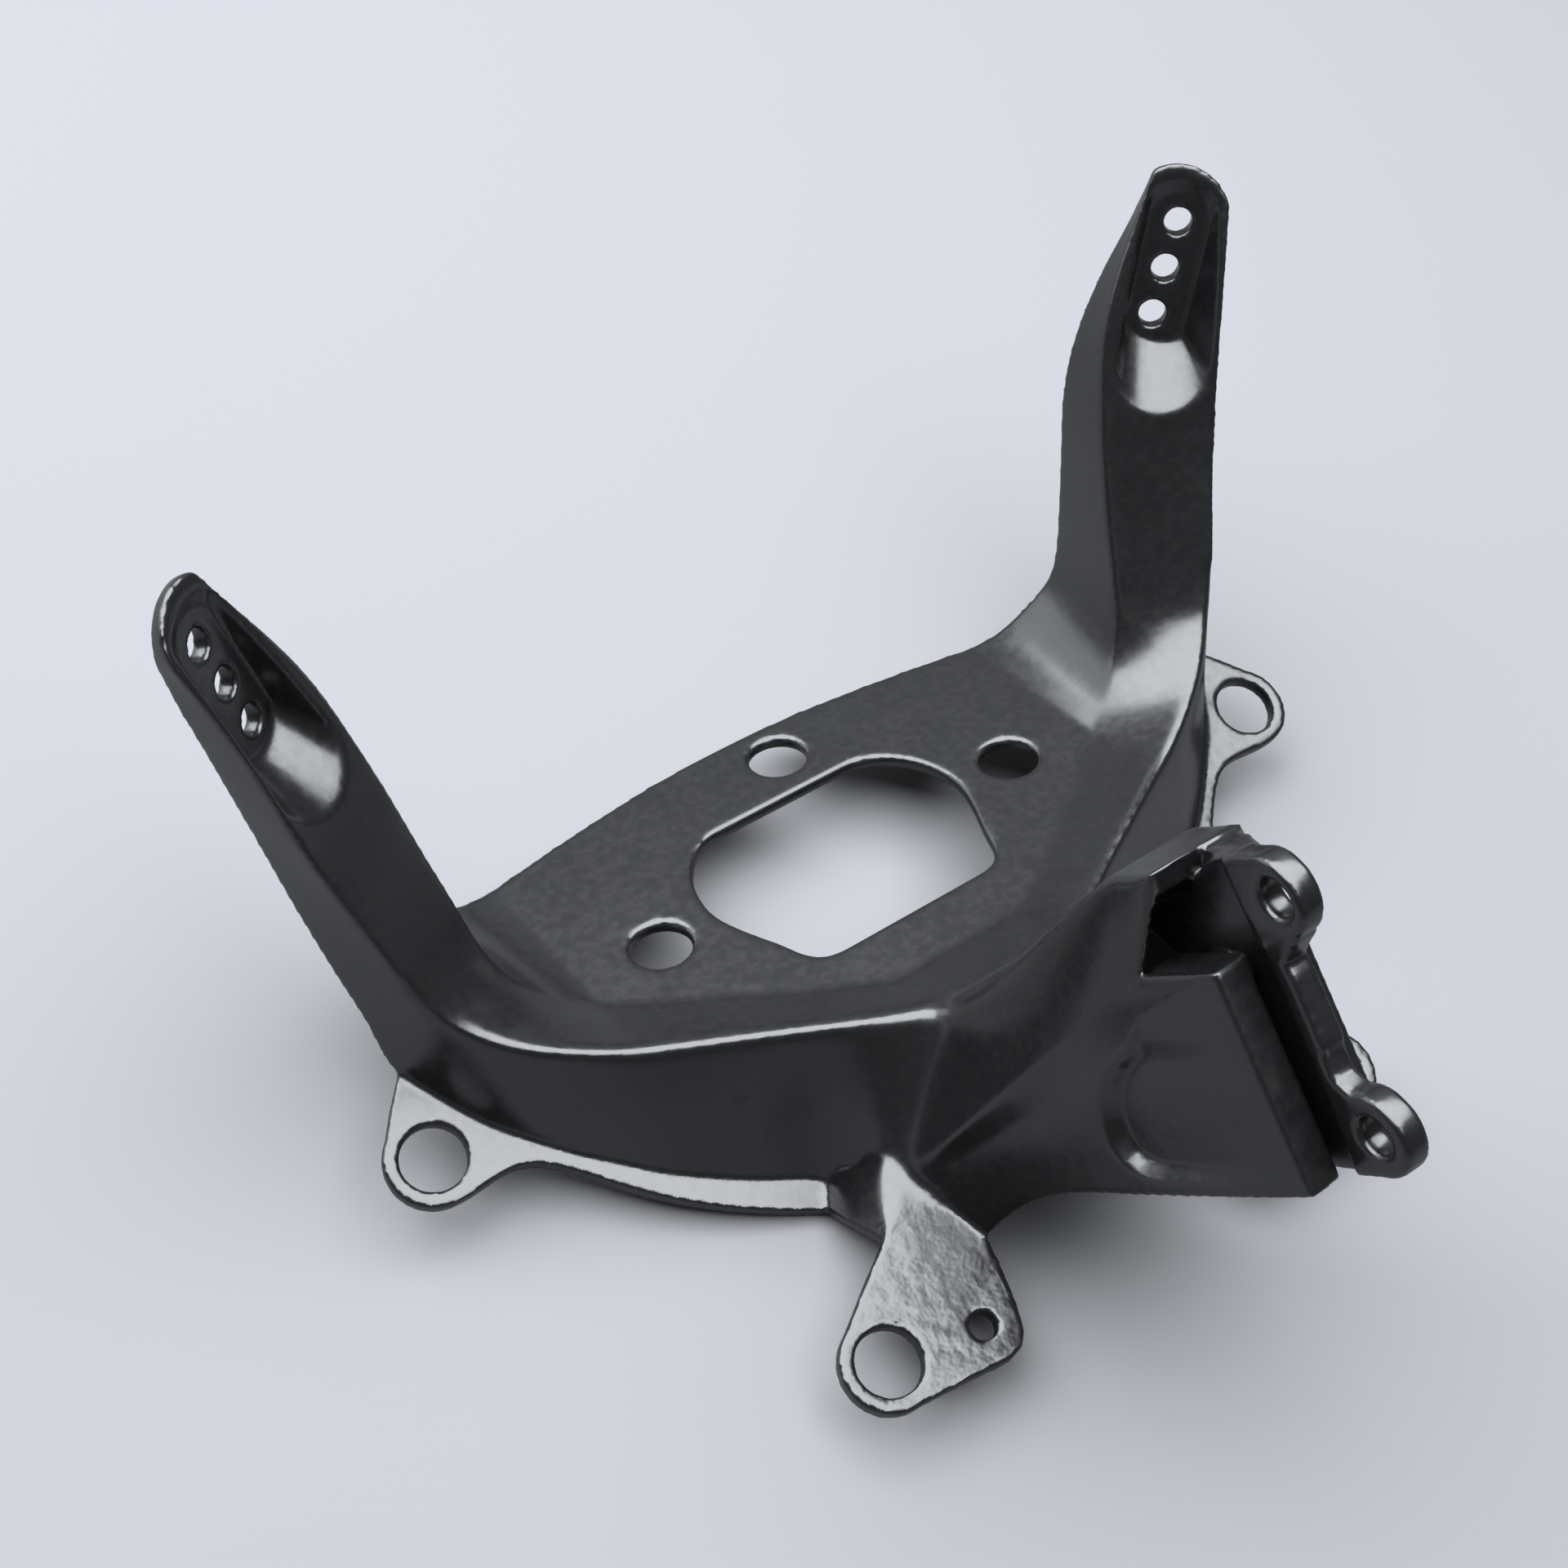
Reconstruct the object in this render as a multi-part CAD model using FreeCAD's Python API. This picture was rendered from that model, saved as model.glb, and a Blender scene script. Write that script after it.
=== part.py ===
import FreeCAD, Part
import math
import os

V = FreeCAD.Vector

# All sizes are in millimetres. The bracket is drawn in the frame of its flat centre plate:
# plate top is z = 0, +X runs to the right arm, +Y to the front edge, -Y to the neck.
# At the end the whole casting is tipped forward so that it rests on the level ground.

# Driving sizes
wall = 4.0
plate_t = 4.0
rest_tilt = -15.3
plate_hole_r = 7.5
plate_hole_pos = [(53.5, 0.0), (-53.5, 0.0), (8.74, 40.2)]
plate_hole_edge = 0.8
arm_hole_r = 3.5
tab_t = 4.5
side_hole_r = 7.8
low_hole_r = 7.7
low_small_r = 3.2
ear_half = 2.2
web_half = 1.7
boss_r = 8.8
boss_back = [2.2, 0.6]
boss_hole_r = 4.0
boss_pos = [(170.2, -17.8), (169.2, -66.2)]
box_end_u = 155.6
right_end_u = 150.6
box_half = 12.4
strip_in = 4.7
ledge_v = -28.0
box_floor_v = -75.3

# Outer lines of the right half, from the neck to the arm tip
# Each row: ridge or outer rear edge, lower edge of the outer wall
rim_rows = [
    ((12.4, -123.3, 82.2), (12.4, -122.1, 55.6)),
    ((12.4, -113.2, 74.7), (14.0, -119.2, 50.5)),
    ((12.4, -108.9, 70.1), (15.4, -116.7, 46.1)),
    ((12.9, -97.0, 52.0), (18.9, -110.3, 35.0)),
    ((13.8, -85.0, 33.5), (24.1, -100.9, 18.4)),
    ((15.2, -75.0, 18.5), (29.4, -91.4, 1.9)),
    ((18.2, -66.5, 8.0), (34.6, -82.0, -14.6)),
    ((23.2, -61.8, 5.2), (38.5, -74.9, -27.0)),
    ((30.0, -58.2, 5.0), (41.4, -68.8, -28.0)),
    ((38.0, -53.8, 4.9), (45.0, -61.5, -34.0)),
    ((47.0, -48.7, 5.0), (51.5, -55.4, -36.3)),
    ((58.2, -42.6, 5.3), (62.5, -50.0, -33.2)),
    ((74.8, -33.6, 5.6), (79.2, -40.3, -27.7)),
    ((84.0, -29.2, 7.2), (88.0, -33.5, -23.8)),
    ((92.9, -24.4, 9.4), (96.2, -26.9, -20.0)),
    ((102.0, -18.8, 12.6), (104.6, -18.9, -15.5)),
    ((108.8, -13.9, 16.6), (112.8, -9.4, -10.0)),
    ((113.4, -10.2, 21.0), (121.4, 4.6, -2.0)),
    ((116.6, -7.6, 27.0), (124.4, 9.6, 10.0)),
    ((119.2, -4.9, 35.0), (126.9, 13.8, 23.0)),
    ((121.9, -1.7, 45.0), (129.4, 18.0, 38.0)),
    ((125.1, 2.0, 56.0), (131.8, 21.0, 53.0)),
    ((128.2, 5.1, 67.5), (134.0, 22.3, 67.5)),
    ((130.6, 7.3, 80.0), (136.2, 22.6, 80.0)),
    ((133.2, 9.3, 92.6), (138.4, 22.7, 92.5)),
    ((136.4, 11.9, 104.5), (140.6, 22.9, 104.5)),
    ((140.2, 15.0, 116.0), (142.2, 22.6, 116.0)),
    ((146.0, 19.4, 133.0), (146.4, 21.8, 133.0)),
]
crest_start = 12
band_start = 7
# Inner rear edge of the arm and inner front edge, from the plate to the arm tip
crest_rows = [
    ((72.0, -9.0, -0.4), (72.0, 44.96, -0.4)),
    ((78.0, -5.6, 0.8), (78.0, 43.93, 0.1)),
    ((84.5, -2.0, 4.0), (85.0, 42.9, 1.6)),
    ((90.6, 1.8, 10.2), (92.0, 42.0, 5.2)),
    ((94.0, 4.4, 17.0), (97.5, 41.0, 9.2)),
    ((95.6, 6.2, 22.5), (101.0, 40.4, 13.2)),
    ((96.7, 8.2, 28.5), (103.0, 40.0, 18.5)),
    ((97.9, 10.8, 35.5), (104.0, 39.8, 26.5)),
    ((99.8, 14.6, 45.5), (105.0, 40.0, 39.0)),
    ((101.9, 18.3, 57.5), (106.3, 40.7, 54.0)),
    ((103.9, 21.2, 67.5), (107.7, 41.4, 67.5)),
    ((106.9, 24.6, 80.5), (110.4, 41.1, 80.0)),
    ((110.5, 27.0, 93.0), (115.0, 39.4, 93.0)),
    ((115.6, 28.0, 105.0), (120.5, 37.0, 105.0)),
    ((121.2, 28.5, 116.0), (126.0, 34.2, 116.0)),
    ((129.6, 28.9, 133.0), (133.6, 31.6, 133.0)),
]
solid_from = 22

# Line on the flat plate where the raised rear band starts, sunk slightly so that the faces cross
band_line = [(18.0, -45.0), (23.0, -42.0), (32.0, -36.5), (42.0, -30.0), (55.0, -21.0), (72.0, -9.0)]
band_sink = -0.4
plate_back = [(0.0, -52.0), (12.0, -50.0), (24.0, -44.5), (36.0, -36.5), (48.0, -28.5), (60.0, -20.0), (72.0, -12.0)]
# How far the outer wall reaches below its lower edge, row by row
foot_drop = [0, 0, 0, 0, 0, 0, 0, 0.5, 2, 3, 3, 3, 3, 3, 3, 3, 3, 2, 0.5, 0, 0, 0, 0, 0]


# Side wall of the neck row by row, and how much deeper its roof is than that
neck_side = [2.0, 2.2, 2.5, 3.2, 3.7, wall, wall, wall]
roof_drop = [4.4, 4.0, 3.2, 2.0, 1.0]


def vec(p):
    return V(p[0], p[1], p[2])


def neck(x, u, v):
    return V(x, -0.802 * u + 0.597 * v, 0.597 * u + 0.802 * v)


def curve_through(points, first=0):
    """Smooth line whose parameter is the row number."""
    curve = Part.BSplineCurve()
    curve.interpolate(Points=points, Parameters=[float(first + i) for i in range(len(points))])
    return curve


def part_of(curve, first, last):
    piece = curve.copy()
    piece.segment(first, last)
    return piece


def ruled(a, b):
    """Ruled face between two curves that share their knots."""
    rows = [[p, q] for p, q in zip(a.getPoles(), b.getPoles())]
    surface = Part.BSplineSurface()
    surface.buildFromPolesMultsKnots(
        rows, a.getMultiplicities(), [2, 2], a.getKnots(), [0.0, 1.0], False, False, a.Degree, 1)
    return surface.toShape()


def ribbon(curves):
    """Solid between four matching corner lines, with ruled faces from line to line."""
    faces = [ruled(curves[i], curves[(i + 1) % 4]) for i in range(4)]
    for end in ("StartPoint", "EndPoint"):
        p = [getattr(c, end) for c in curves]
        faces.append(ruled(curve_through([p[0], p[1]]), curve_through([p[3], p[2]])))
    return solid_from_faces(faces)


def flipped(curve):
    """The same line on the other side of the middle plane."""
    poles = [V(-p.x, p.y, p.z) for p in curve.getPoles()]
    other = Part.BSplineCurve()
    other.buildFromPolesMultsKnots(poles, curve.getMultiplicities(), curve.getKnots(), False, curve.Degree)
    return other


def quad(p0, p1, p2, p3):
    return ruled(curve_through([p0, p1]), curve_through([p3, p2]))


def solid_from_faces(faces):
    shell = Part.makeShell(faces)
    shell.sewShape()
    solid = Part.Solid(shell)
    if solid.Volume < 0:
        solid.reverse()
    return solid


def unit(a):
    return a * (1.0 / a.Length)


def tangents(line):
    out = []
    for i in range(len(line)):
        a = line[max(i - 1, 0)]
        b = line[min(i + 1, len(line) - 1)]
        out.append(unit(b - a))
    return out


def inset(lines, thick):
    """Offset side-by-side lines to the inside by the wall thickness of each row."""
    tans = [tangents(c) for c in lines]
    out = [[] for c in lines]
    for i in range(len(lines[0])):
        t = thick[i]
        normals = []
        for k in range(len(lines) - 1):
            across = unit(lines[k + 1][i] - lines[k][i])
            along = unit(tans[k][i] + tans[k + 1][i])
            normals.append(unit(along.cross(across)))
        for k in range(len(lines)):
            if k == 0:
                d = normals[0] * t
            elif k == len(lines) - 1:
                d = normals[-1] * t
            else:
                n1 = normals[k - 1]
                n2 = normals[k]
                d = (n1 + n2) * (t / (1.0 + n1.dot(n2)))
            out[k].append(lines[k][i] + d)
    return out


def to_level(point, along, z):
    return point + along * ((z - point.z) / along.z)


def mirrored(shape):
    return shape.mirror(V(0, 0, 0), V(1, 0, 0))


def prism(points, direction):
    wire = Part.makePolygon(points + [points[0]])
    return Part.Face(wire).extrude(direction)


# Centre plate with its front edge
def front_y(x):
    return 53.36 - 7.30 * (x / 60.0) ** 2 + 1.02 * (x / 60.0) ** 4


def make_plate():
    edge = [V(x, front_y(x), 0) for x in (-72, -60, -45, -30, -15, 0, 15, 30, 45, 60, 72)]
    front = Part.BSplineCurve()
    front.interpolate(edge)
    right_back = [V(x, y, 0) for x, y in plate_back]
    left_back = [V(-p.x, p.y, 0) for p in reversed(right_back)]
    back = Part.BSplineCurve()
    back.interpolate(left_back + right_back[1:])
    lug = V(76.0, 40.0, 0)
    low = V(76.0, -8.0, 0)
    edges = [front.toShape(), back.toShape()]
    edges.append(Part.makeLine(edge[-1], lug))
    edges.append(Part.makeLine(lug, low))
    edges.append(Part.makeLine(low, right_back[-1]))
    edges.append(Part.makeLine(edge[0], V(-lug.x, lug.y, 0)))
    edges.append(Part.makeLine(V(-lug.x, lug.y, 0), V(-low.x, low.y, 0)))
    edges.append(Part.makeLine(V(-low.x, low.y, 0), left_back[0]))
    wire = Part.Wire(Part.__sortEdges__(edges))
    slab = Part.Face(wire).extrude(V(0, 0, -plate_t))
    slab = slab.cut(window_tool(-10, 10))
    for x, y in plate_hole_pos:
        slab = slab.cut(Part.makeCylinder(plate_hole_r, 20.0, V(x, y, -10)))
    rims = []
    for e in slab.Edges:
        b = e.BoundBox
        flat = b.ZLength < 0.01
        inside = b.XMax < 68 and b.XMin > -68 and b.YMax < 50 and b.YMin > -34
        if flat and inside:
            rims.append(e)
    return slab.makeChamfer(plate_hole_edge, rims)


# Window through the plate, corners rounded, straight slanted sides
window_half = [
    (20.0, 25.4), (24.0, 24.7), (28.2, 22.4), (31.7, 19.0), (34.4, 15.0), (36.2, 10.6), (37.4, 4.6),
    (37.2, -0.8), (35.9, -5.7), (33.5, -12.0), (30.9, -18.0), (29.2, -23.0), (27.4, -26.3),
    (24.8, -28.4), (20.5, -29.2),
]


def window_tool(z0, z1):
    pts = [V(x, y, z0) for x, y in window_half]
    right_side = curve_through(pts).toShape()
    left_side = mirrored(right_side)
    near = Part.makeLine(pts[-1], V(-pts[-1].x, pts[-1].y, z0))
    far = Part.makeLine(pts[0], V(-pts[0].x, pts[0].y, z0))
    wire = Part.Wire(Part.__sortEdges__([right_side, near, left_side, far]))
    return Part.Face(wire).extrude(V(0, 0, z1 - z0))


# Arm, rear rim and neck side of the right half, as walls that share their corner lines
def make_walls():
    a0 = band_start
    a1 = crest_start
    a2 = solid_from
    ridge = [vec(a) for a, b in rim_rows]
    lower = [vec(b) for a, b in rim_rows]
    crest = [V(x, y, band_sink) for x, y in band_line[:-1]] + [vec(a) for a, b in crest_rows]
    front = [vec(b) for a, b in crest_rows]
    deep = [b + unit(b - a) * d for a, b, d in zip(ridge, lower, foot_drop)] + lower[len(foot_drop):]

    # inner lines, row by row: neck side, raised band, hollow arm foot
    other = [V(-p.x, p.y, p.z) for p in ridge[:a0 + 1]]
    neck_in = inset([other, ridge[:a0 + 1], deep[:a0 + 1]], neck_side)
    for i, drop in enumerate(roof_drop):
        neck_in[1][i] = neck_in[1][i] - V(0, 0, drop)
    rest = a2 + 2 - a0
    thick = [3.0] * (a1 - a0) + [3.3, 3.6] + [wall] * (rest - (a1 - a0) - 2)
    band_in = inset([crest[:rest], ridge[a0:a2 + 2], deep[a0:a2 + 2]], thick)
    foot_in = inset([front[:a2 + 2 - a1], crest[a1 - a0:rest], ridge[a1:a2 + 2]], thick[a1 - a0:])
    ridge_in = neck_in[1][:a0] + band_in[1]
    lower_in = neck_in[2][:a0] + band_in[2]
    crest_in = band_in[0][:a1 - a0 + 1] + foot_in[1][1:]
    front_in = foot_in[0]
    level = ridge[a2].z
    for line, first in ((ridge_in, 0), (lower_in, 0), (crest_in, a0), (front_in, a1)):
        k = a2 - first
        line[k] = to_level(line[k], unit(line[k + 1] - line[k - 1]), level)

    c_ridge = curve_through(ridge)
    c_lower = curve_through(lower)
    c_deep = curve_through(deep[:a2 + 1] + lower[a2 + 1:])
    c_crest = curve_through(crest, a0)
    c_front = curve_through(front, a1)
    i_ridge = curve_through(ridge_in)
    i_lower = curve_through(lower_in)
    i_crest = curve_through(crest_in, a0)
    i_front = curve_through(front_in, a1)

    walls = []
    # outer wall: neck side, skirt and outer side of the arm foot
    walls.append(ribbon([part_of(c, 0, a2) for c in (c_ridge, c_deep, i_lower, i_ridge)]))
    # raised rear band of the plate, running on as the rear wall of the arm
    walls.append(ribbon([part_of(c, a0, a2) for c in (c_crest, c_ridge, i_ridge, i_crest)]))
    # inner side of the arm foot, running out into the plate
    walls.append(ribbon([part_of(c, a1, a2) for c in (c_front, c_crest, i_crest, i_front)]))
    # solid upper arm
    last = len(rim_rows) - 1
    walls.append(ribbon([part_of(c, a2, last) for c in (c_crest, c_ridge, c_deep, c_front)]))

    # top skin of the neck, straight across from ridge to ridge, and the strip in front of it
    top_r = part_of(c_ridge, 0, a0)
    top_i = part_of(i_ridge, 0, a0)
    skin = ribbon([top_r, flipped(top_r), flipped(top_i), top_i])
    q = [crest[0], ridge[a0], ridge_in[a0], crest_in[0]]
    r = [V(-p.x, p.y, p.z) for p in q]
    faces = [quad(q[0], q[1], q[2], q[3]), quad(r[0], r[1], r[2], r[3])]
    for i in range(4):
        j = (i + 1) % 4
        faces.append(quad(q[i], q[j], r[j], r[i]))
    return walls, [skin, solid_from_faces(faces)]


# Flange along the foot of the skirt, with the side tab
side_n = V(0, -0.4960, 0.8683)
side_c = -4.05
low_n = V(0, -0.4303, 0.9027)
low_c = 8.24


def on_plane(x, y, n, c):
    return V(x, y, (c - n.y * y) / n.z)


def disc(centre, n, r, depth):
    return Part.makeCylinder(r, depth, centre, n * -1.0)


side_hole = (125.0, -13.3)
low_hole = (67.05, -104.3)
low_small = (44.2, -108.4)


def make_flange():
    outer = [(121.9, 5.4), (128.3, -0.9), (134.6, -8.0)]
    under = [(125.0, -23.4), (117.0, -23.0), (111.0, -22.9), (106.5, -24.1), (101.3, -27.5), (90.2, -38.0), (76.7, -48.9), (63.4, -57.0), (52.5, -62.5)]
    inner = [(46.5, -55.0), (59.5, -47.5), (76.0, -36.5), (90.0, -27.0), (100.0, -17.5), (108.0, -8.5), (116.5, 3.5)]
    p_out = [on_plane(x, y, side_n, side_c) for x, y in outer]
    p_und = [on_plane(x, y, side_n, side_c) for x, y in under]
    p_in = [on_plane(x, y, side_n, side_c) for x, y in inner]
    edges = [Part.makeLine(p_out[0], p_out[1]), Part.makeLine(p_out[1], p_out[2]), Part.makeLine(p_out[2], p_und[0])]
    curve = Part.BSplineCurve()
    curve.interpolate(p_und)
    edges.append(curve.toShape())
    edges.append(Part.makeLine(p_und[-1], p_in[0]))
    curve = Part.BSplineCurve()
    curve.interpolate(p_in)
    edges.append(curve.toShape())
    edges.append(Part.makeLine(p_in[-1], p_out[0]))
    face = Part.Face(Part.Wire(Part.__sortEdges__(edges)))
    plate = face.extrude(side_n * -tab_t)
    hub = disc(on_plane(side_hole[0], side_hole[1], side_n, side_c), side_n, 11.6, tab_t)
    return plate.fuse(hub)


def make_low_tab():
    outline = [
        (41.4, -69.2), (43.9, -74.2), (47.6, -79.4), (52.9, -84.0), (61.4, -88.8), (71.5, -94.9),
        (65.5, -114.5), (54.6, -115.5), (43.2, -116.8), (39.4, -116.0), (36.8, -113.6), (34.5, -107.9), (32.5, -100.3), (31.2, -93.8),
        (25.0, -91.0), (27.0, -74.0), (34.0, -67.5),
    ]
    pts = [on_plane(x, y, low_n, low_c) for x, y in outline]
    plate = prism(pts, low_n * -tab_t)
    hub = disc(on_plane(low_hole[0], low_hole[1], low_n, low_c), low_n, 11.3, tab_t)
    inner = [on_plane(49.1, -56.1, side_n, side_c), V(45.4, -62.8, -30.3), on_plane(41.75, -69.5, low_n, low_c - 0.4)]
    outer = [on_plane(52.5, -62.5, side_n, side_c), V(53.6, -68.2, -36.5), on_plane(52.0, -84.2, low_n, low_c - 0.4)]
    down = V(-0.8, 2.0, -4.2)
    rings = [inner, outer, [p + down for p in outer], [p + down for p in inner]]
    step = ribbon([curve_through(line) for line in rings])
    return plate.fuse(hub).fuse(step)


# Cheek walls of the lower neck box
cheek_rows = [
    (neck(box_half, box_end_u, ledge_v), neck(box_half, box_end_u, box_floor_v)),
    (V(16.2, -130.3, 51.8), neck(16.4, 133.6, -75.3)),
    (V(21.2, -113.3, 22.7), neck(19.6, 112.0, -75.3)),
    (V(25.2, -100.0, 4.0), neck(23.2, 90.0, -75.3)),
    (V(31.0, -87.0, -13.5), neck(26.2, 72.0, -77.5)),
    (V(38.2, -75.4, -27.6), V(31.6, -93.8, -36.0)),
]
hood_rows = [
    V(12.4, -122.1, 55.6),
    V(14.6, -118.3, 48.9),
    V(20.5, -107.4, 29.9),
    V(27.0, -95.6, 9.2),
    V(33.0, -84.9, -9.6),
    V(38.5, -74.9, -27.0),
]


def make_cheek():
    top = [a for a, b in cheek_rows]
    low = [b for a, b in cheek_rows]
    ins = inset([hood_rows, top, low], [wall + 1.0] * len(top))
    shoulder = ribbon([curve_through(c) for c in (hood_rows, top, ins[1], ins[0])])
    side = ribbon([curve_through(c) for c in (top, low, ins[2], ins[1])])
    return [shoulder, side]


# Shallow recess on the outer face of the cheek, its front end an arc (u, v)
cheek_arc = [
    (127.0, -40.0), (122.5, -43.6), (117.5, -46.2), (113.0, -49.4), (109.0, -53.6), (106.6, -58.4),
    (106.0, -63.2), (107.4, -67.4), (111.0, -70.4), (116.5, -71.8), (124.8, -72.0),
]
cheek_front = 19.7
cheek_slope = 0.1455


def make_cheek_recess():
    def at(u, v):
        return neck(cheek_front - cheek_slope * (u - cheek_arc[6][0]), u, v)
    line = [at(u, v) for u, v in cheek_arc]
    low = at(159.0, -73.0)
    high = at(159.0, -22.0)
    top = at(133.0, -31.0)
    edges = [curve_through(line).toShape()]
    for a, b in ((line[-1], low), (low, high), (high, top), (top, line[0])):
        edges.append(Part.makeLine(a, b))
    return Part.Face(Part.Wire(Part.__sortEdges__(edges))).extrude(V(9.0, 0, 0))


def neck_box(x0, x1, u0, u1, v0, v1):
    pts = [neck(x0, u0, v0), neck(x0, u1, v0), neck(x0, u1, v1), neck(x0, u0, v1)]
    return prism(pts, V(x1 - x0, 0, 0))


def make_ear():
    outline = [
        (118.0, -20.0), (141.0, -16.5), (149.0, -11.0), (155.0, -9.4), (162.7, -8.6), (168.0, -9.1), (175.0, -17.0), (171.0, -26.5), (164.8, -31.0), (165.6, -33.5),
        (165.6, -48.0), (164.4, -50.5), (164.4, -54.5), (167.5, -57.5), (171.5, -58.4), (175.0, -67.0), (169.5, -74.8),
        (155.6, -75.3), (140.0, -75.3), (132.0, -60.0), (128.0, -30.0),
    ]
    web = prism([neck(-web_half, u, v) for u, v in outline], V(2 * web_half, 0, 0))
    pad_line = [
        (158.5, -9.2), (168.0, -9.1), (171.0, -26.5), (164.8, -31.0), (165.6, -33.5), (165.6, -48.0), (164.4, -50.5),
        (164.4, -54.5), (167.5, -57.5), (171.5, -58.4), (169.5, -74.8), (159.0, -75.2), (160.5, -60.0), (161.0, -30.0),
    ]
    pad = prism([neck(-ear_half, u, v) for u, v in pad_line], V(2 * ear_half, 0, 0))
    ear = web.fuse(pad)
    for (u, v), back in zip(boss_pos, boss_back):
        ear = ear.fuse(Part.makeCylinder(boss_r, 2 * ear_half, neck(-ear_half, u - back, v), V(1, 0, 0)))
    return ear


def make_gusset():
    """Flat web from the roof's rear edge across to the top of the ear, on the right side only."""
    top = [neck(12.0, 146.6, -8.8), neck(1.0, 167.0, -8.8), neck(1.0, 139.0, -8.8), neck(12.0, 139.0, -8.8)]
    return prism(top, V(0, 0.597, 0.802) * -4.5)


def make_box():
    """Rear end strips, the floor of the channel between them and the ledge on top."""
    edge = box_half - 0.3
    parts = []
    for s in (-1, 1):
        x0 = min(s * strip_in, s * edge)
        x1 = max(s * strip_in, s * edge)
        parts.append(neck_box(x0, x1, box_end_u - 9.0, box_end_u + 0.3, box_floor_v + 0.2, ledge_v - 0.4))
        parts.append(neck_box(min(s * 3.2, s * 10.8), max(s * 3.2, s * 10.8), 132.5, box_end_u - 0.6, ledge_v - 5.0, ledge_v))
    parts.append(neck_box(-edge + 0.6, edge - 0.6, 141.0, 147.5, box_floor_v + 0.6, ledge_v - 1.2))
    return parts


# Recess on the rear face of the arm with its three screw holes
recess_n = unit(V(-0.601, -0.791, 0.110))
arm_up = unit(V(6.5, -1.6, 23.3))
arm_holes = [V(131.6, 24.6, 113.3), V(128.35, 25.4, 101.65), V(125.1, 26.2, 90.0)]


arm_side = unit(arm_up.cross(recess_n))


def arm_point(a, s, n):
    """Point in the arm's own directions: along it, across it and out of its rear face."""
    return arm_holes[2] + arm_up * a + arm_side * s + recess_n * n


def arc_points(ca, cs, r, start, end, count):
    out = []
    for i in range(count):
        t = math.radians(start + (end - start) * i / (count - 1.0))
        out.append((ca + r * math.sin(t), cs + r * math.cos(t)))
    return out


# Recess outline on its flat floor and where it opens on the rear face, with a long lower ramp
floor_top = arc_points(24.5, -0.1, 7.7, 0, 180, 9)
floor_low = [
    (-1.5, -7.2), (-3.8, -6.0), (-5.4, -4.2), (-6.4, -1.8), (-6.9, 0.9), (-6.9, 3.4), (-6.3, 5.6), (-5.4, 7.4), (-4.0, 8.8),
]
mouth_top = arc_points(28.0, -0.3, 8.9, 0, 180, 9)
mouth_low = arc_points(-9.3, 4.5, 12.0, -180, 0, 9)


def face_level(a, lift):
    return 8.3 - 0.2234 * a + lift


def make_recess():
    base = []
    open_end = []
    for floor_line, mouth_line in ((floor_top, mouth_top), (floor_low, mouth_low)):
        b_line = []
        o_line = []
        for (a0, s0), (a1, s1) in zip(floor_line, mouth_line):
            n1 = max(face_level(a1, 0.0), 1.5)
            # run the sloping wall on until it is well outside the rear face
            t = face_level(a0, 6.0) / (n1 + 0.2234 * (a1 - a0))
            b_line.append(arm_point(a0, s0, 0.0))
            o_line.append(arm_point(a0 + t * (a1 - a0), s0 + t * (s1 - s0), t * n1))
        base.append(b_line)
        open_end.append(o_line)
    sides = []
    for line in (base, open_end):
        top, low = line
        sides.append([
            curve_through(top),
            curve_through([top[-1], low[0]]),
            curve_through(low),
            curve_through([low[-1], top[0]]),
        ])
    faces = [ruled(a, b) for a, b in zip(sides[0], sides[1])]
    for ring in sides:
        wire = Part.Wire(Part.__sortEdges__([c.toShape() for c in ring]))
        faces.append(Part.Face(wire))
    tool = solid_from_faces(faces)
    for c in arm_holes:
        tool = tool.fuse(Part.makeCylinder(arm_hole_r, 40.0, c - recess_n * 20.0, recess_n))
    return tool


def tip_tool():
    """Everything outside the rounded, slanting end of the arm."""
    rear = [arm_point(a, s, 4.0) for a, s in arc_points(29.1, -0.1, 12.2, 0, 180, 13)]
    slant = arm_up * -5.0 - arm_side * 2.8 - recess_n * 8.5
    near = [p - slant * 1.5 for p in rear]
    arc = curve_through(near).toShape()
    a = near[0] + arm_side * 14.0
    b = a + arm_up * 40.0
    d = near[-1] - arm_side * 14.0
    c = d + arm_up * 40.0
    chain = [near[0], a, b, c, d, near[-1]]
    edges = [arc] + [Part.makeLine(p, q) for p, q in zip(chain[:-1], chain[1:])]
    return Part.Face(Part.Wire(Part.__sortEdges__(edges))).extrude(slant * 4.0)


# One half, grown together piece by piece, then mirrored
side_walls, centre_skin = make_walls()
half = side_walls + [make_flange(), make_low_tab()]
half += make_cheek()
right = half[0]
for piece in half[1:]:
    right = right.fuse(piece)
right = right.cut(make_recess())
right = right.cut(tip_tool())
right = right.cut(make_cheek_recess())
tab_holes = [
    (side_hole, side_n, side_c, side_hole_r),
    (low_hole, low_n, low_c, low_hole_r),
    (low_small, low_n, low_c, low_small_r),
]
for place, n, c, r in tab_holes:
    centre = on_plane(place[0], place[1], n, c)
    right = right.cut(Part.makeCylinder(r, 30.0, centre + n * 10.0, n * -1.0))
left = mirrored(right)

# Middle pieces join the two halves
body = make_plate().fuse(right)
body = body.fuse(left)
for piece in centre_skin + make_box() + [make_ear(), make_gusset()]:
    body = body.fuse(piece)
for u, v in boss_pos:
    body = body.cut(Part.makeCylinder(boss_hole_r, 40.0, neck(-20.0, u, v), V(1, 0, 0)))

# The right cheek ends sooner than the left one, clear of the ear
body = body.cut(neck_box(2.9, 30.0, right_end_u, 175.0, box_floor_v - 10.0, -14.5))

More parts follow.
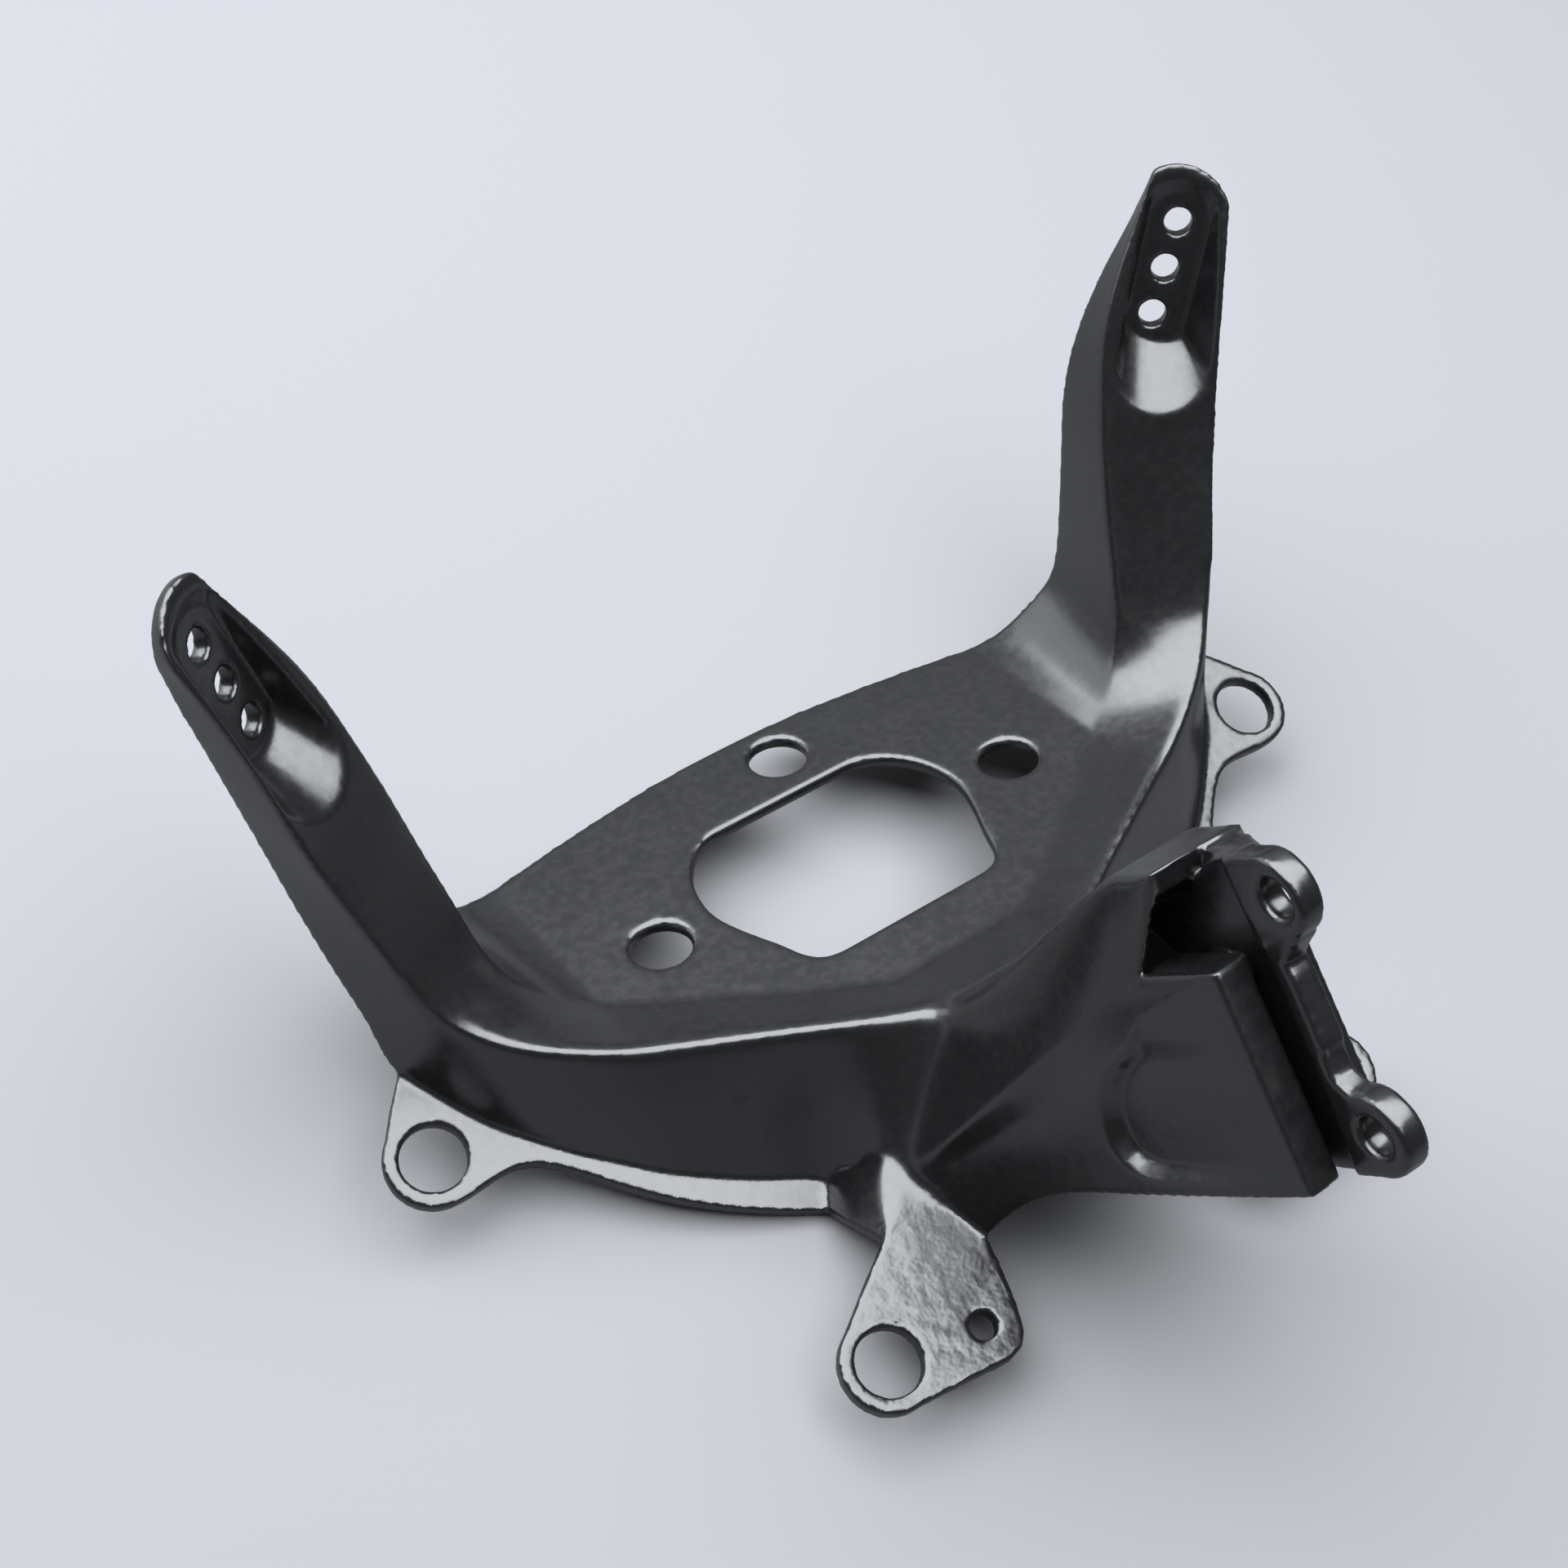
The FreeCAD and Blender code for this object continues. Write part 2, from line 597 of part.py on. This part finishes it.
# Tip the part so that it rests on its lower tabs and the plate's front edge
body.rotate(V(0, 0, 0), V(1, 0, 0), rest_tilt)
box = body.BoundBox
shift = V(-(box.XMin + box.XMax) / 2.0, -(box.YMin + box.YMax) / 2.0, -box.ZMin)
body.translate(shift)
print("shift", round(shift.x, 3), round(shift.y, 3), round(shift.z, 3))

print("solids", len(body.Solids), "valid", body.isValid(), "volume", round(body.Volume), "box", body.BoundBox)
os.makedirs("parts", exist_ok=True)
body.exportStep("parts/fairing_stay.step")
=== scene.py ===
import bpy
import bmesh
import math
import numpy as np
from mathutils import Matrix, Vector, noise


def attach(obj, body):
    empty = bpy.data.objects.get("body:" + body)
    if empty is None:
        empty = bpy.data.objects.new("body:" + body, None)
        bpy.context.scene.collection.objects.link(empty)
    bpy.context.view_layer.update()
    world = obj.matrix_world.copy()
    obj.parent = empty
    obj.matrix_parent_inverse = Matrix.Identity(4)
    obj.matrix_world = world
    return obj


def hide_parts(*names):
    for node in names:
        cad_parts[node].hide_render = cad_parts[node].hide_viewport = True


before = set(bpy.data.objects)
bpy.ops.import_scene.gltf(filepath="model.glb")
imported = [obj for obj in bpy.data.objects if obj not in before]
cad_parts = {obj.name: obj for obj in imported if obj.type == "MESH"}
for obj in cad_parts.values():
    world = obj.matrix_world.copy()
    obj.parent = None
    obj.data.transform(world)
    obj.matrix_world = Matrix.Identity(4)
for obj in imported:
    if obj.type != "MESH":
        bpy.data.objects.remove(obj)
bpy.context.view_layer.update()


# The casting: plate, arms, skirt, tabs and neck of the stay, one piece of die-cast aluminium.
# The sharp solid is turned to a fine even skin and its edges are eased, as the mould and the
# blasting before painting leave them.
skin_size = 0.0006
skin_triangles = 190000

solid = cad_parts["fairing_stay"]
sharp = solid.data.copy()
bm = bmesh.new()
bm.from_mesh(sharp)
bmesh.ops.remove_doubles(bm, verts=bm.verts, dist=0.000002)
bm.to_mesh(sharp)
bm.free()
casting = bpy.data.objects.new("casting", sharp)
bpy.context.scene.collection.objects.link(casting)


def bake_modifiers(piece):
    """Turns what the piece's modifiers give into its own mesh."""
    depsgraph = bpy.context.evaluated_depsgraph_get()
    done = bpy.data.meshes.new_from_object(piece.evaluated_get(depsgraph))
    piece.modifiers.clear()
    piece.data = done


def fade(value, low, high):
    """0 at low, 1 at high and a smooth step between, also with high below low."""
    part = np.clip((value - low) / (high - low), 0.0, 1.0)
    return part * part * (3.0 - 2.0 * part)


def off_line(spots, line):
    """Distance of each spot from a broken line."""
    nearest = np.full(len(spots), 1.0)
    for a, b in zip(line[:-1], line[1:]):
        a = np.array(a)
        along = np.array(b) - a
        share = np.clip((spots - a) @ along / (along @ along), 0.0, 1.0)
        gap = spots - a - share[:, None] * along
        nearest = np.minimum(nearest, np.sqrt((gap * gap).sum(1)))
    return nearest


def point_places(mesh):
    flat = np.empty(3 * len(mesh.vertices))
    mesh.vertices.foreach_get("co", flat)
    return flat.reshape(-1, 3)


def set_weights(piece, name, weights):
    """Vertex group from an array, in steps of a fiftieth."""
    group = piece.vertex_groups.new(name=name)
    steps = np.rint(weights * 50.0).astype(int)
    for step in range(1, 51):
        members = np.nonzero(steps == step)[0].tolist()
        if members:
            group.add(members, step / 50.0, "REPLACE")


# Places are told in the frame of the plate: its top at height 0, tilted from the ground
plate_tilt = math.radians(15.3)
plate_y, plate_z = 0.04934, 0.02702
neck_sin, neck_cos = 0.597, 0.802
screw_row = [(0.1325, 0.0286, 0.1137), (0.1265, 0.0302, 0.0905)]
roof_ridge = [
    (0.0124, -0.1233, 0.0822), (0.0124, -0.1132, 0.0747), (0.0124, -0.1089, 0.0701), (0.0129, -0.0970, 0.0520), (0.0138, -0.0850, 0.0335), (0.0152, -0.0750, 0.0185)]
rim_ridge = [
    (0.0152, -0.0750, 0.0185), (0.0182, -0.0665, 0.0080), (0.0232, -0.0618, 0.0052),
    (0.0380, -0.0538, 0.0049), (0.0582, -0.0426, 0.0053), (0.0748, -0.0336, 0.0056),
    (0.0929, -0.0244, 0.0094), (0.1088, -0.0139, 0.0166), (0.1166, -0.0076, 0.0270)]
neck_corner = [(0.0232, -0.0618, 0.0052), (0.0300, -0.0680, -0.0100), (0.0385, -0.0749, -0.0270)]
# front end of the hollow in the cheek, along and across the neck
cheek_arc = [
    (0.1270, -0.0400), (0.1225, -0.0436), (0.1175, -0.0462), (0.1130, -0.0494),
    (0.1090, -0.0536), (0.1066, -0.0584), (0.1060, -0.0632), (0.1074, -0.0674),
    (0.1110, -0.0704), (0.1165, -0.0718), (0.1248, -0.0720)]
cheek_depth = 0.0030

skin = casting.modifiers.new("even skin", "REMESH")
skin.mode = "VOXEL"
skin.voxel_size = skin_size
skin.use_smooth_shade = True
bake_modifiers(casting)

places = point_places(casting.data)
lift_y = places[:, 1] - plate_y
lift_z = places[:, 2] - plate_z
at = np.empty_like(places)
at[:, 0] = np.abs(places[:, 0])
at[:, 1] = lift_y * math.cos(plate_tilt) - lift_z * math.sin(plate_tilt)
at[:, 2] = lift_y * math.sin(plate_tilt) + lift_z * math.cos(plate_tilt)
along = neck_sin * at[:, 2] - neck_cos * at[:, 1]
across = neck_cos * at[:, 2] + neck_sin * at[:, 1]

# The pad and bosses at the end of the neck stand out more on the left
near_pad = (places[:, 0] < 0.0) & (at[:, 0] < 0.0040) & (along > 0.1570)
places[near_pad, 0] *= 1.0 + 0.75 * fade(along[near_pad], 0.1575, 0.1590)

# The hollow in the cheek is deepest behind its front end
arc_gap = off_line(np.stack([along, across], axis=1), cheek_arc)
arc_order = sorted(cheek_arc, key=lambda p: p[1])
arc_low, arc_high = arc_order[0][1], arc_order[-1][1]
arc_front = np.interp(across, [p[1] for p in arc_order], [p[0] for p in arc_order])
on_cheek = (along > arc_front) & (at[:, 0] > 0.0135) & (along > 0.095) & (along < 0.150)
sunk = cheek_depth * fade(arc_gap, 0.0, 0.0024) * np.clip(1.0 - (along - 0.106) / 0.044, 0.0, 1.0)
sunk *= fade(across, arc_high, arc_high - 0.0060) * fade(across, arc_low, arc_low + 0.0030)
places[on_cheek, 0] -= np.sign(places[on_cheek, 0]) * sunk[on_cheek]
casting.data.vertices.foreach_set("co", places.ravel())

# Arms, rim and roof are eased well, the ridges most; tabs, holes and neck end little
near_roof = 1.0 - fade(off_line(at, roof_ridge), 0.0035, 0.0075)
near_rim = 1.0 - fade(off_line(at, rim_ridge), 0.0035, 0.0085)
near_corner = 1.0 - fade(off_line(at, neck_corner), 0.0060, 0.0150)
firm = 1.0 - fade(off_line(at, screw_row), 0.0070, 0.0120)
firm = np.maximum(firm, fade(at[:, 2], -0.0130, -0.0170) * fade(at[:, 1], 0.0100, 0.0050))
firm = np.maximum(firm, fade(along, 0.0950, 0.1050) * (1.0 - near_roof))
set_weights(casting, "soft", 1.0 - 0.65 * firm)
set_weights(casting, "ridges", np.maximum.reduce([0.35 * near_roof, 0.8 * near_rim, near_corner]))
ease = casting.modifiers.new("eased edges", "SMOOTH")
ease.factor = 0.5
ease.iterations = 22
ease.vertex_group = "soft"
more = casting.modifiers.new("rounded ridges", "SMOOTH")
more.factor = 0.5
more.iterations = 130
more.vertex_group = "ridges"
bake_modifiers(casting)
casting.vertex_groups.clear()

thin = casting.modifiers.new("fewer faces", "DECIMATE")
thin.ratio = min(1.0, skin_triangles / (2.0 * len(casting.data.polygons)))
bake_modifiers(casting)
casting.data.validate()
for face in casting.data.polygons:
    face.use_smooth = True

# The lower tabs are left a little lumpy by the mould
lump_height = 0.00009
lump_scale = 330.0
places = point_places(casting.data)
on_tab = fade(places[:, 1], -0.030, -0.040) * fade(places[:, 2], 0.034, 0.026)
for number in np.nonzero(on_tab > 0.0)[0].tolist():
    point = casting.data.vertices[number]
    point.co += point.normal * (lump_height * on_tab[number] * noise.noise(point.co * lump_scale))

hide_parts("fairing_stay")
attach(casting, "root")

# Satin black paint over the cast skin: fine grain, slow waves, rougher and lumpier on the lower tabs
paint = bpy.data.materials.new("satin_black_paint")
paint.use_nodes = True
nodes = paint.node_tree.nodes
links = paint.node_tree.links
shader = nodes["Principled BSDF"]
shader.inputs["Roughness"].default_value = 0.26
shader.inputs["IOR"].default_value = 1.8
where = nodes.new("ShaderNodeTexCoord")


def grain(scale, detail):
    cloud = nodes.new("ShaderNodeTexNoise")
    cloud.inputs["Scale"].default_value = scale
    cloud.inputs["Detail"].default_value = detail
    links.new(where.outputs["Object"], cloud.inputs["Vector"])
    return cloud.outputs["Fac"]


def spread(value, low, high, to_low, to_high):
    span = nodes.new("ShaderNodeMapRange")
    span.interpolation_type = "SMOOTHSTEP"
    span.inputs["From Min"].default_value = low
    span.inputs["From Max"].default_value = high
    span.inputs["To Min"].default_value = to_low
    span.inputs["To Max"].default_value = to_high
    links.new(value, span.inputs["Value"])
    return span.outputs["Result"]


def times(a, b):
    step = nodes.new("ShaderNodeMath")
    step.operation = "MULTIPLY"
    links.new(a, step.inputs[0])
    links.new(b, step.inputs[1])
    return step.outputs[0]


def press(height, distance, before=None):
    dent = nodes.new("ShaderNodeBump")
    dent.inputs["Strength"].default_value = 1.0
    dent.inputs["Distance"].default_value = distance
    links.new(height, dent.inputs["Height"])
    if before is not None:
        links.new(before, dent.inputs["Normal"])
    return dent.outputs["Normal"]


# lower tabs: rear of the part, near the ground and away from the neck
place = nodes.new("ShaderNodeSeparateXYZ")
links.new(where.outputs["Object"], place.inputs["Vector"])
rear = spread(place.outputs["Y"], -0.030, -0.040, 0.0, 1.0)
low = spread(place.outputs["Z"], 0.034, 0.026, 0.0, 1.0)
on_tab = times(rear, low)

tone = nodes.new("ShaderNodeValToRGB")
tone.color_ramp.elements[0].position = 0.35
tone.color_ramp.elements[0].color = (0.0045, 0.0046, 0.0049, 1)
tone.color_ramp.elements[1].position = 0.70
tone.color_ramp.elements[1].color = (0.0065, 0.0066, 0.0070, 1)
links.new(grain(45.0, 3.0), tone.inputs["Fac"])
links.new(tone.outputs["Color"], shader.inputs["Base Color"])
links.new(spread(grain(400.0, 4.0), 0.3, 0.7, 0.23, 0.29), shader.inputs["Roughness"])
fine = press(grain(1500.0, 2.0), 0.000008)
slow = press(grain(60.0, 1.0), 0.00012, fine)
lumps = press(times(grain(260.0, 2.0), on_tab), 0.00028, slow)
links.new(lumps, shader.inputs["Normal"])
casting.data.materials.clear()
casting.data.materials.append(paint)


# Floor: plain, pale and slightly cool, far wider than the part
bm = bmesh.new()
bmesh.ops.create_grid(bm, x_segments=1, y_segments=1, size=6.0)
floor_mesh = bpy.data.meshes.new("floor")
bm.to_mesh(floor_mesh)
bm.free()
floor = bpy.data.objects.new("floor", floor_mesh)
bpy.context.scene.collection.objects.link(floor)
floor_paint = bpy.data.materials.new("pale_floor")
floor_paint.use_nodes = True
floor_shader = floor_paint.node_tree.nodes["Principled BSDF"]
floor_nodes = floor_paint.node_tree.nodes
floor_links = floor_paint.node_tree.links
seen = floor_nodes.new("ShaderNodeLightPath")
floor_tone = floor_nodes.new("ShaderNodeMix")
floor_tone.data_type = "RGBA"
floor_tone.inputs["A"].default_value = (0.110, 0.110, 0.114, 1)
floor_tone.inputs["B"].default_value = (0.223, 0.223, 0.232, 1)
floor_links.new(seen.outputs["Is Camera Ray"], floor_tone.inputs["Factor"])
floor_links.new(floor_tone.outputs["Result"], floor_shader.inputs["Base Color"])
floor_shader.inputs["Roughness"].default_value = 0.9
floor_shader.inputs["Specular IOR Level"].default_value = 0.1
floor_mesh.materials.append(floor_paint)

# Light: a wide white ceiling over the left and front of the part, a dim panel beyond the front
# edge for the plate to mirror, and a dark room
world = bpy.data.worlds.new("room")
bpy.context.scene.world = world
world.use_nodes = True
world.node_tree.nodes["Background"].inputs["Color"].default_value = (0.96, 0.98, 1.0, 1)
world.node_tree.nodes["Background"].inputs["Strength"].default_value = 0.10


def lamp(name, place_m, turn, width, height, watts):
    light = bpy.data.lights.new(name, "AREA")
    light.shape = "RECTANGLE"
    light.size = width
    light.size_y = height
    light.energy = watts
    light.color = (0.93, 0.96, 1.0)
    holder = bpy.data.objects.new(name, light)
    holder.location = place_m
    holder.rotation_euler = turn
    bpy.context.scene.collection.objects.link(holder)


def aimed(place_m, aim):
    return (Vector(aim) - Vector(place_m)).to_track_quat("-Z", "Y").to_euler()


lamp("lamp_ceiling", (-0.13, 0.56, 1.20), (0.0, 0.0, math.radians(130.0)), 2.65, 1.65, 97.0)
side_at = (-1.15, 1.95, 0.62)
lamp("lamp_side_panel", side_at, aimed(side_at, (0.0, 0.0, 0.1)), 2.0, 1.3, 14.0)
panel_at = (0.9, 1.9, 1.0)
lamp("lamp_front_panel", panel_at, aimed(panel_at, (0.0, 0.0, 0.1)), 2.4, 1.4, 2.7)

# Camera: above and behind the neck, looking down over the right shoulder of the part
lens = bpy.data.cameras.new("camera")
lens.sensor_width = 36.0
lens.lens = 51.675
lens.clip_end = 50.0
camera = bpy.data.objects.new("camera", lens)
camera.location = (-0.2281, -0.19544, 0.4746)
camera.rotation_euler = [math.radians(a) for a in (38.02, -3.896, -35.312)]
bpy.context.scene.collection.objects.link(camera)
bpy.context.scene.camera = camera
bpy.context.scene.view_settings.view_transform = "Standard"
